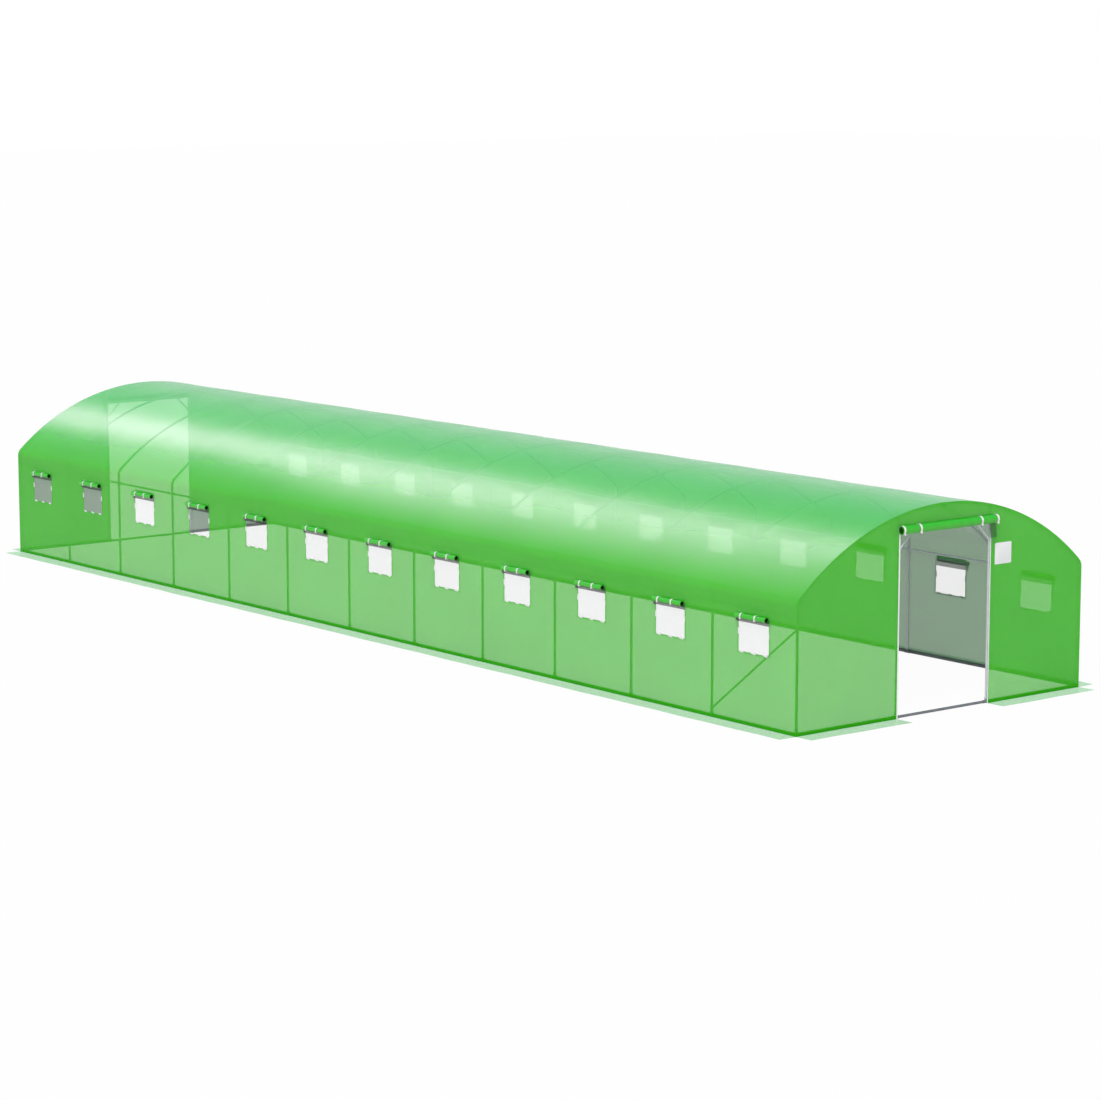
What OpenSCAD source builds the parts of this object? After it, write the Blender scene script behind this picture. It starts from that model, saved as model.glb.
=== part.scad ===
// Polytunnel greenhouse: a row of steel hoops under a green film, with roll-up windows along both walls
// and a roll-up door in each end. X runs across, Y along with the front at -Y, and Z up from the ground.

/* [Tunnel] */
// Number of bays between the hoops
bays = 12; // [4:1:16]
// Length of one bay, from hoop to hoop
bay_pitch = 1250; // [1000:10:1600]
// Width over the film
tunnel_w = 4000; // [3400:10:4800]
// Height of the film at the crown
crown_h = 2120; // [2050:10:2500]
// Height of the upright walls, up to where the bend into the roof starts
eave_h = 1270; // [1220:10:1400]
// Outside radius of the bend between wall and roof
bend_r = 120; // [80:5:200]
// Thickness of the film
film_t = 2; // [1:0.5:4]

/* [Frame] */
// Diameter of the hoop tubes
hoop_d = 28; // [22:1:34]
// Diameter of the ground rails
rail_d = 28; // [22:1:34]
// Diameter of the purlins
purlin_d = 25; // [19:1:32]
// Diameter of the wind braces
brace_d = 22; // [16:1:26]
// Drop of the eave purlins below the eaves
purlin_drop = 110; // [90:5:125]
// Drop of a wind brace's upper end below the eaves
brace_drop = 220; // [180:10:300]
// Height of a wind brace's lower collar above the tee under it
brace_lift = 2; // [1:1:60]

/* [Fittings] */
// Wall of the tees, clamps and collars
fitting_wall = 2.5; // [1.5:0.5:4]
// Clearance between a piece and its seat
seat_gap = 0.3; // [0.1:0.1:0.4]
// Length of a tee along the ground rail
tee_l = 80; // [60:5:120]
// Height of a tee's socket above the ground rail
socket_h = 50; // [40:5:85]
// Metal between the two bores of a clamp
clamp_web = 2; // [1:0.5:4]

/* [Doors] */
// Width of the doorway between the film's edges
door_w = 1280; // [1000:10:1500]
// Drop of the doorway's upper edge below the crown
door_drop = 250; // [220:10:400]
// Diameter of the door posts and lintels
post_d = 25; // [19:1:32]
// Diameter of a rolled-up door
door_roll_d = 96; // [60:2:120]
// How far a rolled-up door reaches past the doorway on each side
door_roll_lap = 30; // [0:5:60]
// Height of a rolled-up door's axis above the doorway
door_roll_lift = 30; // [0:5:45]
// Diameter of the knee braces between posts and lintels
knee_d = 18; // [12:1:22]
// Reach of a knee brace along its post and its lintel
knee_reach = 200; // [150:10:300]

/* [Windows] */
// Width of a window
window_w = 440; // [300:10:500]
// Height of a window
window_h = 360; // [250:10:380]
// Drop of the windows' upper edge below the eaves
window_drop = 180; // [160:10:220]
// Thickness of the insect nets
net_t = 1; // [0.5:0.5:2]
// How far a net laps behind the film on each side
net_lap = 20; // [10:5:40]
// Diameter of a rolled-up window flap
window_roll_d = 60; // [40:2:80]

/* [Ties] */
// Width of the straps that hold the rolls
tie_w = 22; // [12:1:40]
// Thickness of the straps
tie_t = 1.5; // [0.5:0.5:3]

/* [Skirt] */
// Width of the film that lies on the ground around the tunnel
skirt_w = 220; // [120:10:300]

/* [Hidden] */
$fn = 48;
// How far a cut runs past what it cuts
overrun = 5;

half_w = tunnel_w / 2;
half_l = bays * bay_pitch / 2;

// The roof is one arc, tangent to a bend at each eave
bend_x = half_w - bend_r;
rise = crown_h - eave_h;
roof_r = (bend_x * bend_x + rise * rise - bend_r * bend_r) / (2 * (rise - bend_r));
roof_z = crown_h - roof_r;
roof_angle = atan2(bend_x, eave_h - roof_z);
bend_angle = 90 - roof_angle;
bend_steps = 8;
roof_steps = 60;

// The frame's tubes lie inside the film by the radius of the fittings
hoop_fit_r = hoop_d / 2 + seat_gap + fitting_wall;
rail_fit_r = rail_d / 2 + seat_gap + fitting_wall;
purlin_fit_r = purlin_d / 2 + seat_gap + fitting_wall;
post_fit_r = post_d / 2 + seat_gap + fitting_wall;
frame_inset = film_t + seat_gap + max(hoop_fit_r, rail_fit_r);
leg_x = half_w - frame_inset;
end_y = half_l - frame_inset;
rail_z = rail_fit_r;
leg_base_z = rail_z + rail_d / 2 + seat_gap;

// The purlins run inside the hoops, one clamp's web away from them
purlin_h = eave_h - purlin_drop;
brace_h = eave_h - brace_drop;
brace_foot_h = rail_z + socket_h + brace_lift + hoop_fit_r;
purlin_offset = hoop_d / 2 + purlin_d / 2 + 2 * seat_gap + clamp_web;
ridge_z = crown_h - frame_inset - purlin_offset;

// The door posts stand on the end rails and reach the underside of the end hoops
post_x = door_w / 2;
post_reach = post_x + post_d / 2;
post_top_r = roof_r - frame_inset - hoop_d / 2 - seat_gap;
post_top_z = roof_z + sqrt(post_top_r * post_top_r - post_reach * post_reach);
door_h = crown_h - door_drop;
lintel_z = door_h + post_d / 2;
lintel_half_l = post_x - post_d / 2 - seat_gap;

// Places of the ties along a roll, as shares of its length
door_tie_shares = [0.01, 0.18, 0.82, 0.99];
window_tie_shares = [0.12, 0.58];

// The rolled flaps hang just outside the film's upper edge
door_roll_l = door_w + 2 * door_roll_lap;
door_roll_y = half_l + seat_gap + door_roll_d / 2 + tie_t;
window_roll_x = half_w + seat_gap + window_roll_d / 2 + tie_t;
window_top_h = eave_h - window_drop;
sill_h = window_top_h - window_h;

film_colour = [0.30, 0.70, 0.24];
skirt_colour = [0.68, 0.90, 0.70];
steel_colour = [0.72, 0.73, 0.75];
net_colour = [0.93, 0.93, 0.94];

function hoop_y(i) = i == 0 ? -end_y : i == bays ? end_y : i * bay_pitch - half_l;
function bay_y(i) = (i + 0.5) * bay_pitch - half_l;
function hoop_name(i) = str("hoop_", i < 9 ? "0" : "", i + 1);
function arc(centre, r, from, to, steps) =
    [for (k = [0:steps]) centre + r * [cos(from + (to - from) * k / steps), sin(from + (to - from) * k / steps)]];

// The tunnel's line from the right eave over the crown to the left eave, at an inset from the film's outside
function roof_line(inset) = concat(
    arc([bend_x, eave_h], bend_r - inset, 0, bend_angle, bend_steps),
    arc([0, roof_z], roof_r - inset, bend_angle, 180 - bend_angle, roof_steps),
    arc([-bend_x, eave_h], bend_r - inset, 180 - bend_angle, 180, bend_steps)
);
function reversed(points) = [for (k = [len(points) - 1:-1:0]) points[k]];

HOOPS = [for (i = [0:bays]) hoop_name(i)];

// Round bars along the three axes, centred on a point
module bar_x(at, d, l) translate(at) rotate([0, 90, 0]) cylinder(d = d, h = l, center = true);
module bar_y(at, d, l) translate(at) rotate([90, 0, 0]) cylinder(d = d, h = l, center = true);
module bar_z(at, d, l) translate(at) cylinder(d = d, h = l, center = true);

// A flat outline in the XZ plane, made into a sheet from y towards -Y
module upright_sheet(y, thickness) translate([0, y, 0]) rotate([90, 0, 0]) linear_extrude(thickness) children();

// A piece of the right half and its mirror on the left
module both_sides() {
    children();
    mirror([1, 0, 0]) children();
}

// Tube bent to the hoop's line: two legs with their bends, and the roof's arc between two couplings
module hoop(i) color(steel_colour) translate([0, hoop_y(i), 0]) rotate([90, 0, 0]) {
    both_sides() {
        translate([leg_x, leg_base_z, 0]) rotate([-90, 0, 0]) cylinder(d = hoop_d, h = eave_h - leg_base_z);
        translate([bend_x, eave_h, 0]) {
            rotate_extrude(angle = bend_angle) translate([bend_r - frame_inset, 0]) circle(d = hoop_d);
            rotate(bend_angle) translate([bend_r - frame_inset, 0, 0]) rotate([90, 0, 0])
                cylinder(r = hoop_d / 2 + fitting_wall, h = 2 * hoop_fit_r, center = true);
        }
    }
    translate([0, roof_z, 0]) rotate(bend_angle) rotate_extrude(angle = 2 * roof_angle, $fn = 180)
        translate([roof_r - frame_inset, 0]) circle(d = hoop_d, $fn = 48);
}

// Rail along one wall, between the end rails
module side_rail(side) color(steel_colour)
    bar_y([side * leg_x, 0, rail_z], rail_d, 2 * (end_y - rail_d / 2 - seat_gap));

// Rail across one end, under the corner legs and the doorway
module end_rail(end) color(steel_colour) bar_x([0, end * end_y, rail_z], rail_d, 2 * leg_x + rail_d);

module eave_purlin(side) color(steel_colour)
    bar_y([side * (leg_x - purlin_offset), 0, purlin_h], purlin_d, 2 * (end_y + hoop_fit_r));

module ridge_purlin() color(steel_colour) bar_y([0, 0, ridge_z], purlin_d, 2 * (end_y + hoop_fit_r));

// Diagonal tube in the front bay, with a collar round the leg at each end
module wind_brace(side) {
    low = [side * leg_x, hoop_y(1), brace_foot_h];
    high = [side * leg_x, hoop_y(0), brace_h];
    run = high - low;
    tilt = atan2(run[1], run[2]);
    color(steel_colour) difference() {
        union() {
            translate(low) rotate([-tilt, 0, 0]) cylinder(d = brace_d, h = norm(run));
            for (at = [low, high]) bar_z(at, 2 * hoop_fit_r, 2 * hoop_fit_r);
        }
        for (at = [low, high]) bar_z(at, hoop_d + 2 * seat_gap, 4 * hoop_fit_r);
    }
}

// Knee brace from a post to the lintel, right half, cut back to seat on both tubes
module knee_brace() difference() {
    translate([post_x, 0, lintel_z - knee_reach]) rotate([0, -45, 0]) cylinder(d = knee_d, h = knee_reach * sqrt(2));
    bar_z([post_x, 0, lintel_z], post_d + 2 * seat_gap, 4 * knee_reach);
    bar_x([0, 0, lintel_z], post_d + 2 * seat_gap, door_w);
}

// Two posts, the lintel and two knee braces of one doorway
module door_frame(end) color(steel_colour) translate([0, end * end_y, 0]) {
    both_sides() {
        translate([post_x, 0, leg_base_z]) cylinder(d = post_d, h = post_top_z - leg_base_z);
        knee_brace();
    }
    bar_x([0, 0, lintel_z], post_d, 2 * lintel_half_l);
}

// Tee that seats a leg or post of diameter d on a rail that runs along Y
module base_tee(d) {
    r = d / 2 + seat_gap + fitting_wall;
    difference() {
        union() {
            bar_y([0, 0, rail_z], 2 * rail_fit_r, tee_l);
            translate([0, 0, rail_z]) cylinder(r = r, h = socket_h);
        }
        bar_y([0, 0, rail_z], rail_d + 2 * seat_gap, tee_l + overrun);
        translate([0, 0, rail_z]) cylinder(d = d + 2 * seat_gap, h = socket_h + overrun);
    }
}

// Corner fitting for a leg, the end rail towards -X and the side rail towards +Y
module corner_tee() {
    arm = tee_l / 2;
    reach = arm + rail_fit_r;
    bore_d = rail_d + 2 * seat_gap;
    difference() {
        union() {
            bar_x([(rail_fit_r - arm) / 2, 0, rail_z], 2 * rail_fit_r, reach);
            bar_y([0, arm / 2, rail_z], 2 * rail_fit_r, arm);
            translate([0, 0, rail_z]) cylinder(r = hoop_fit_r, h = socket_h);
        }
        bar_x([(rail_fit_r - arm) / 2, 0, rail_z], bore_d, reach + overrun);
        bar_y([0, arm / 2 + overrun / 2, rail_z], bore_d, arm + overrun);
        translate([0, 0, rail_z]) cylinder(d = hoop_d + 2 * seat_gap, h = socket_h + overrun);
    }
}

// Fittings at the feet of the legs along the right wall, and mirrored for the left
module base_tees(side) color(steel_colour) mirror([side < 0 ? 1 : 0, 0, 0]) {
    for (i = [1:bays - 1]) translate([leg_x, hoop_y(i), 0]) base_tee(hoop_d);
    translate([leg_x, hoop_y(0), 0]) corner_tee();
    translate([leg_x, hoop_y(bays), 0]) mirror([0, 1, 0]) corner_tee();
}

// Clamps that hold an eave purlin to the legs
module eave_clamps(side) color(steel_colour) for (i = [0:bays]) {
    at_leg = [side * leg_x, hoop_y(i), purlin_h];
    at_purlin = [side * (leg_x - purlin_offset), hoop_y(i), purlin_h];
    difference() {
        union() {
            bar_z(at_leg, 2 * hoop_fit_r, 2 * purlin_fit_r);
            bar_y(at_purlin, 2 * purlin_fit_r, 2 * hoop_fit_r);
        }
        bar_z(at_leg, hoop_d + 2 * seat_gap, 4 * purlin_fit_r);
        bar_y(at_purlin, purlin_d + 2 * seat_gap, 4 * hoop_fit_r);
    }
}

// Clamps that hold the ridge purlin under the hoops' crowns
module ridge_clamps() color(steel_colour) for (i = [0:bays]) {
    at_hoop = [0, hoop_y(i), ridge_z + purlin_offset];
    at_purlin = [0, hoop_y(i), ridge_z];
    difference() {
        union() {
            bar_x(at_hoop, 2 * hoop_fit_r, 2 * purlin_fit_r);
            bar_y(at_purlin, 2 * purlin_fit_r, 2 * hoop_fit_r);
        }
        bar_x(at_hoop, hoop_d + 2 * seat_gap, 4 * purlin_fit_r);
        bar_y(at_purlin, purlin_d + 2 * seat_gap, 4 * hoop_fit_r);
    }
}

// Tees at the feet of the door posts and at the ends of the lintels
module door_frame_tees() color(steel_colour) for (end = [-1, 1], side = [-1, 1]) {
    at_lintel = [side * post_x, end * end_y, lintel_z];
    translate([side * post_x, end * end_y, 0]) rotate(90) base_tee(post_d);
    difference() {
        union() {
            bar_z(at_lintel, 2 * post_fit_r, tee_l);
            translate(at_lintel) rotate([0, -side * 90, 0]) cylinder(r = post_fit_r, h = tee_l / 2);
        }
        bar_z(at_lintel, post_d + 2 * seat_gap, tee_l + overrun);
        translate(at_lintel) rotate([0, -side * 90, 0]) cylinder(d = post_d + 2 * seat_gap, h = tee_l);
    }
}

// One sheet over the roof's arc and both bends, between the end sheets
module roof_film() {
    film_l = 2 * (half_l - film_t);
    color(film_colour) upright_sheet(film_l / 2, film_l)
        polygon(concat(roof_line(0), reversed(roof_line(film_t))));
}

// Upright sheet of one wall, with its row of windows cut through
module wall_film(side) {
    film_l = 2 * (half_l - film_t);
    color(film_colour) translate([side * (half_w - film_t / 2), 0, 0]) difference() {
        translate([-film_t / 2, -film_l / 2, 0]) cube([film_t, film_l, eave_h]);
        for (i = [0:bays - 1]) translate([-film_t, bay_y(i) - window_w / 2, sill_h])
            cube([2 * film_t, window_w, window_h]);
    }
}

// Flat sheet that closes one end, with the doorway cut through
module end_film(end) color(film_colour)
    upright_sheet(end < 0 ? film_t - half_l : half_l, film_t) difference() {
        polygon(concat([[-half_w, 0], [half_w, 0]], roof_line(0)));
        translate([-door_w / 2, -overrun]) square([door_w, door_h + overrun]);
    }

// Strip of film on the ground along one wall
module side_skirt(side) color(skirt_colour) translate([side * (half_w + skirt_w / 2), 0, film_t / 2])
    cube([skirt_w, 2 * half_l, film_t], center = true);

// Strips of film on the ground on both sides of a doorway
module end_skirts(end) {
    skirt_l = half_w - door_w / 2;
    color(skirt_colour) for (side = [-1, 1])
        translate([side * (half_w - skirt_l / 2), end * (half_l + skirt_w / 2), film_t / 2])
            cube([skirt_l, skirt_w, film_t], center = true);
}

// Insect nets behind the windows of one wall
module window_nets(side) color(net_colour) for (i = [0:bays - 1])
    translate([side * (half_w - film_t - seat_gap - net_t / 2), bay_y(i), sill_h + window_h / 2])
        cube([net_t, window_w + 2 * net_lap, window_h + 2 * net_lap], center = true);

// Rolled flap of length l and diameter d along Y, with a strap round it at each share of its length
module roll(l, d, tie_shares) {
    bar_y([0, 0, 0], d, l);
    for (share = tie_shares) bar_y([0, (share - 0.5) * l, 0], d + 2 * tie_t, tie_w);
}

module window_rolls(side) color(film_colour) for (i = [0:bays - 1])
    translate([side * window_roll_x, bay_y(i), window_top_h])
        mirror([0, 1, 0]) roll(window_w, window_roll_d, window_tie_shares);

module door_roll(end) color(film_colour) translate([0, end * door_roll_y, door_h + door_roll_lift])
    rotate(90) roll(door_roll_l, door_roll_d, door_tie_shares);

for (i = [0:bays]) hoop(i);
side_rail(-1);  // left_ground_rail
side_rail(1);  // right_ground_rail
end_rail(-1);  // front_ground_rail
end_rail(1);  // back_ground_rail
eave_purlin(-1);  // left_eave_purlin
eave_purlin(1);  // right_eave_purlin
ridge_purlin();
wind_brace(-1);  // left_wind_brace
wind_brace(1);  // right_wind_brace
door_frame(-1);  // front_door_frame
door_frame(1);  // back_door_frame
base_tees(-1);  // left_base_tees
base_tees(1);  // right_base_tees
eave_clamps(-1);  // left_eave_clamps
eave_clamps(1);  // right_eave_clamps
ridge_clamps();
door_frame_tees();
roof_film();
wall_film(-1);  // left_wall_film
wall_film(1);  // right_wall_film
end_film(-1);  // front_film
end_film(1);  // back_film
side_skirt(-1);  // left_skirt
side_skirt(1);  // right_skirt
end_skirts(-1);  // front_skirts
end_skirts(1);  // back_skirts
window_nets(-1);  // left_window_nets
window_nets(1);  // right_window_nets
window_rolls(-1);  // left_window_rolls
window_rolls(1);  // right_window_rolls
door_roll(-1);  // front_door_roll
door_roll(1);  // back_door_roll
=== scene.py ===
# %% [markdown]
# # A polytunnel greenhouse under green film
# The real tunnel is a row of thirteen steel hoops with a see-through green film drawn tight over them.
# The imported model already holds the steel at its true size, so this lesson keeps those tubes and gives them
# a zinc finish. The film, the nets and the rolled flaps are soft, so each is modelled here as a thin sheet
# that takes the place of its plain solid.

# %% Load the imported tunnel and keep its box
import contextlib
import math

import bpy
import numpy as np
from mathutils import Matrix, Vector


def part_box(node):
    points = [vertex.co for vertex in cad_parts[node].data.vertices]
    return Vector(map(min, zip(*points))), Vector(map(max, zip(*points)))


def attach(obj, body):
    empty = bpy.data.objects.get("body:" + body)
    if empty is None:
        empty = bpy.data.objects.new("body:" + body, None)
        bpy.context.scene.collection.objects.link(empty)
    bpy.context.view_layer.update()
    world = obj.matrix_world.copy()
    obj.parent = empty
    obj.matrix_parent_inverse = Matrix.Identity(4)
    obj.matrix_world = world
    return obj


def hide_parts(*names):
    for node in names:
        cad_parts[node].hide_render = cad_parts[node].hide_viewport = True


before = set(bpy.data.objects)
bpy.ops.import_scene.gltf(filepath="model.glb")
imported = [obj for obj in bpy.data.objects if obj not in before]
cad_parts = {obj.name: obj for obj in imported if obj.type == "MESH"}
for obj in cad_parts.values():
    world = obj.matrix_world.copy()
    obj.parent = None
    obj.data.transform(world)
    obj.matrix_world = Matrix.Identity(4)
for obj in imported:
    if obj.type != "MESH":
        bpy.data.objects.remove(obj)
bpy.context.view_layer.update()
bpy.ops.object.select_all(action="DESELECT")
print("nodes in the tunnel:", len(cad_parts))

# %% [markdown]
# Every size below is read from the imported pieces, so a sheet fits the frame that carries it. The roof's
# section is one long arc with a short bend at each eave, as on the real hoops. Only the bend's radius, the
# doorway's width and a few laps can't be read from a box, so they are written down here.

# %% Sizes read from the frame
BAYS = 12
BEND_R = 0.12
DOOR_W = 1.28
DOOR_ROLL_LIFT = 0.03
NET_LAP = 0.02

wall_low, wall_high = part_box("left_wall_film")
HALF_W = -wall_low.x
EAVE = wall_high.z
HALF_L = -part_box("front_film")[0].y
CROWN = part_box("roof_film")[1].z
BAY = 2 * HALF_L / BAYS
BAY_MIDDLES = [(i + 0.5) * BAY - HALF_L for i in range(BAYS)]

net_low, net_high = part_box("left_window_nets")
SILL = net_low.z + NET_LAP
WINDOW_TOP = net_high.z - NET_LAP
WINDOW_W = 2 * (BAY_MIDDLES[0] - net_low.y - NET_LAP)

door_roll_low, door_roll_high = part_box("front_door_roll")
DOOR_ROLL_Z = (door_roll_low.z + door_roll_high.z) / 2
DOOR_H = DOOR_ROLL_Z - DOOR_ROLL_LIFT

BEND_X = HALF_W - BEND_R
RISE = CROWN - EAVE
ROOF_R = (BEND_X**2 + RISE**2 - BEND_R**2) / (2 * (RISE - BEND_R))
ROOF_Z = CROWN - ROOF_R
ROOF_HALF_ANGLE = math.atan2(BEND_X, EAVE - ROOF_Z)
BEND_ANGLE = math.pi / 2 - ROOF_HALF_ANGLE
BEND_RUN = BEND_R * BEND_ANGLE
ROOF_RUN = 2 * ROOF_R * ROOF_HALF_ANGLE
SECTION_RUN = ROOF_RUN + 2 * BEND_RUN
print(f"tunnel {2 * HALF_W:.2f} x {2 * HALF_L:.2f} x {CROWN:.2f} m, roof radius {ROOF_R:.3f} m")

# %% [markdown]
# The camera stands in front and to the left, a few metres above the crown, and has a long lens. Its place was
# worked out from the tunnel's corners, so it is set as a point and two angles.

# %% Camera
CAMERA_AT = Vector((-23.29, -30.36, 6.64))
CAMERA_HEADING = math.radians(-38.60)
CAMERA_PITCH = math.radians(-8.78)
SENSOR_MM = 36.0
LENS_MM = 107.7
CAMERA_REACH = 500.0

camera_data = bpy.data.cameras.new("photo_camera")
camera_data.sensor_width = SENSOR_MM
camera_data.lens = LENS_MM
camera_data.clip_end = CAMERA_REACH
camera = bpy.data.objects.new("photo_camera", camera_data)
bpy.context.scene.collection.objects.link(camera)
camera.location = CAMERA_AT
camera.rotation_euler = (math.pi / 2 + CAMERA_PITCH, 0, CAMERA_HEADING)
bpy.context.scene.camera = camera
bpy.context.scene.view_settings.view_transform = "Standard"
print("camera", tuple(round(v, 2) for v in camera.location))

# %% [markdown]
# A finish is a small network of shader nodes. Writing it as Python arithmetic keeps it readable: a Wire
# stands for one socket, and an expression on wires adds the Math nodes it needs.


# %% Wires
class Wire:
    """One output socket of a finish, with the usual arithmetic."""

    def __init__(self, finish, socket):
        self.finish = finish
        self.socket = socket

    def math(self, operation, *others):
        return self.finish.node("ShaderNodeMath", {"operation": operation}, [self, *others])

    def __add__(self, other):
        return self.math("ADD", other)

    def __sub__(self, other):
        return self.math("SUBTRACT", other)

    def __mul__(self, other):
        return self.math("MULTIPLY", other)

    def __mod__(self, other):
        return self.math("FLOORED_MODULO", other)

    def __lt__(self, other):
        return self.math("LESS_THAN", other)

    def __gt__(self, other):
        return self.math("GREATER_THAN", other)

    def __abs__(self):
        return self.math("ABSOLUTE")

    def __rsub__(self, other):
        return self.finish.node("ShaderNodeMath", {"operation": "SUBTRACT"}, [other, self])

    __radd__ = __add__
    __rmul__ = __mul__

    def either(self, other):
        return self.math("MAXIMUM", other)

    def eased(self, low, high):
        """0 below low, 1 above high and a smooth step between."""
        limits = {"Value": self, "From Min": low, "From Max": high}
        return self.finish.node("ShaderNodeMapRange", {"interpolation_type": "SMOOTHSTEP"}, limits)


print("wires are ready")

# %% [markdown]
# Every other node comes from Finish.node, which takes the node's type, its settings and what goes into its
# sockets. The other methods are short names for the few kinds of node that this tunnel needs.


# %% Finishes
class Finish:
    """A material or a world whose nodes are made by node(). surface() sets a material's look."""

    def __init__(self, block):
        self.block = block
        self.block.use_nodes = True
        self.tree = self.block.node_tree
        self.tree.nodes.clear()

    def node(self, kind, settings=None, inputs=None, output=0):
        """One node of a type. Its inputs are values or wires, by name or in order."""
        made = self.tree.nodes.new(kind)
        for key, value in (settings or {}).items():
            setattr(made, key, value)
        pairs = inputs.items() if isinstance(inputs, dict) else enumerate(inputs or [])
        for key, value in pairs:
            if isinstance(value, Wire):
                self.tree.links.new(value.socket, made.inputs[key])
            else:
                made.inputs[key].default_value = value
        return Wire(self, made.outputs[output]) if made.outputs else None

    def place(self):
        """The point's object coordinates, as a vector."""
        return self.node("ShaderNodeTexCoord", output="Object")

    def sheet_place(self):
        """The point's place on its sheet in metres, as a vector and as two wires."""
        point = self.node("ShaderNodeUVMap", {"uv_map": "metres"})
        return point, *self.parts(point)[:2]

    def parts(self, vector):
        """The three parts of a vector or a colour."""
        first = self.node("ShaderNodeSeparateXYZ", {}, [vector])
        return [Wire(self, socket) for socket in first.socket.node.outputs]

    def noise(self, vector, scale, detail=3.0):
        return self.node("ShaderNodeTexNoise", {}, {"Vector": vector, "Scale": scale, "Detail": detail})

    def mix(self, factor, first, second):
        """A colour between two, where colours are written as three numbers or are wires.

        A Mix node repeats its sockets' names for every type of data, so its colours go by number.
        """
        full = [c if isinstance(c, Wire) else (*c, 1.0) for c in (first, second)]
        sockets = {0: factor, 6: full[0], 7: full[1]}
        return self.node("ShaderNodeMix", {"data_type": "RGBA"}, sockets, output=2)

    def bump(self, height, strength, distance):
        inputs = {"Height": height, "Strength": strength, "Distance": distance}
        return self.node("ShaderNodeBump", {}, inputs)

    def seen_rays(self):
        """1 for the camera's rays and for those that metal or glass sends on, and the glossy ones alone."""
        kinds = ("Is Camera Ray", "Is Transmission Ray", "Is Glossy Ray")
        straight, sent_on, mirrored = (self.node("ShaderNodeLightPath", output=kind) for kind in kinds)
        return straight.either(sent_on).either(mirrored), mirrored

    def surface(self, looks):
        """Ends the finish in a Principled shader, whose sockets go by the names that Blender shows."""
        shader = self.node("ShaderNodeBsdfPrincipled", {}, looks)
        self.node("ShaderNodeOutputMaterial", {}, {"Surface": shader})
        return self.block


def new_finish(name):
    return Finish(bpy.data.materials.new(name))


def give_finish(piece, *finishes):
    piece.data.materials.clear()
    for finish in finishes:
        piece.data.materials.append(finish)


print("finishes are ready to be written")

# %% [markdown]
# The frame is galvanised steel tube. Hot-dip zinc isn't one grey: it freezes in small spangles that differ
# a little in tone and gloss. A Voronoi pattern gives each spangle its own value, and a soft noise dulls
# the zinc in patches. Close to the ground the zinc is darker and rougher: that dark is painted shade.

# %% Zinc finish for the steel tubes
STEEL_WORDS = ("hoop", "rail", "purlin", "brace", "frame", "tees", "clamps")
SPANGLE_SCALE = 140.0
PATCH_SCALE = 9.0
ZINC_DEEP, ZINC_BRIGHT = (0.62, 0.61, 0.67), (0.76, 0.75, 0.81)
ZINC_DULL = (0.52, 0.51, 0.57)
ZINC_METALLIC = 0.25
ZINC_ROUGHNESS = 0.30
SPANGLE_BUMP = (0.15, 0.0004)
# Painted shade: the colour the zinc darkens to near the ground, and the heights over which it fades.
GROUND_SHADE = (0.130, 0.120, 0.150)
GROUND_SHADE_LOW, GROUND_SHADE_HIGH = 0.032, 0.060


def zinc_finish():
    finish = new_finish("galvanised_zinc")
    point = finish.place()
    height = finish.parts(point)[2]
    cells = {"Vector": point, "Scale": SPANGLE_SCALE}
    spangles = finish.node("ShaderNodeTexVoronoi", {}, cells, output="Color")
    tone = finish.parts(spangles)[0]
    patches = finish.noise(point, PATCH_SCALE)
    grey = finish.mix(tone, ZINC_DEEP, ZINC_BRIGHT)
    dulled = finish.mix(patches * 0.5, grey, ZINC_DULL)
    # Painted shade near the ground, where the zinc is also made rougher.
    ground_shade = (1 - height.eased(GROUND_SHADE_LOW, GROUND_SHADE_HIGH)) * (0.75 + patches * 0.25)
    looks = {
        "Base Color": finish.mix(ground_shade, dulled, GROUND_SHADE),
        "Metallic": ZINC_METALLIC,
        "Roughness": ZINC_ROUGHNESS + tone * 0.12 + patches * 0.10 + ground_shade * 0.25,
        "Normal": finish.bump(tone, *SPANGLE_BUMP),
    }
    return finish.surface(looks)


ZINC = zinc_finish()
steel_nodes = [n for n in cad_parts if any(word in n for word in STEEL_WORDS)]
for node_name in steel_nodes:
    give_finish(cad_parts[node_name], ZINC)
print("zinc on", len(steel_nodes), "steel nodes")

# %% [markdown]
# The film is woven: a net of thin threads sealed between two clear green skins. From outside it is a strong
# green that lets some of the white behind it through, and from inside it looks grey. So each sheet has
# two skins, each with its own finish and its own share of light let through. The threads show as a fine
# square grid.

# %% Film measures and colours
THREAD_PITCH = 0.010
THREAD_W = 0.0016
THREAD_COVER = 0.25
HEM_W = 0.022
HEM_SHADE = 0.85
HEM_COVER = 0.15
HEM_TINT, STITCH_TINT = 0.4, 0.4
DOUBLED_HEIGHT = 0.5
STITCH_W = 0.0022
STITCH_PITCH = 0.009
STITCH_GAP = STITCH_PITCH / 3
CLOUD_SCALE = 0.9
CLOUD_RANGE = (0.3, 0.7)
CLOUD_SHADE = 0.94
CREASE_SCALE = 4.0
FILM_ROUGHNESS = 0.24
FILM_BUMP = (0.008, 0.003)
WALL_GLOSS, END_GLOSS = 0.1, 0.05
COAT_REACH = 0.75
COAT_SHARE = 0.72
COAT_ROUGHNESS = 0.23
GREEN = (0.056, 0.575, 0.002)
INNER_GREY = (0.49, 0.67, 0.62)
SKIRT_GREEN = (0.050, 0.620, 0.110)
OUTER_ALPHA, INNER_ALPHA = 0.70, 0.28
SKIRT_ALPHA, SKIRT_INNER_ALPHA = 0.40, 0.16
FOOT_SOLID_SHARE = 0.4
FOOT_COVER = 0.85
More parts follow.
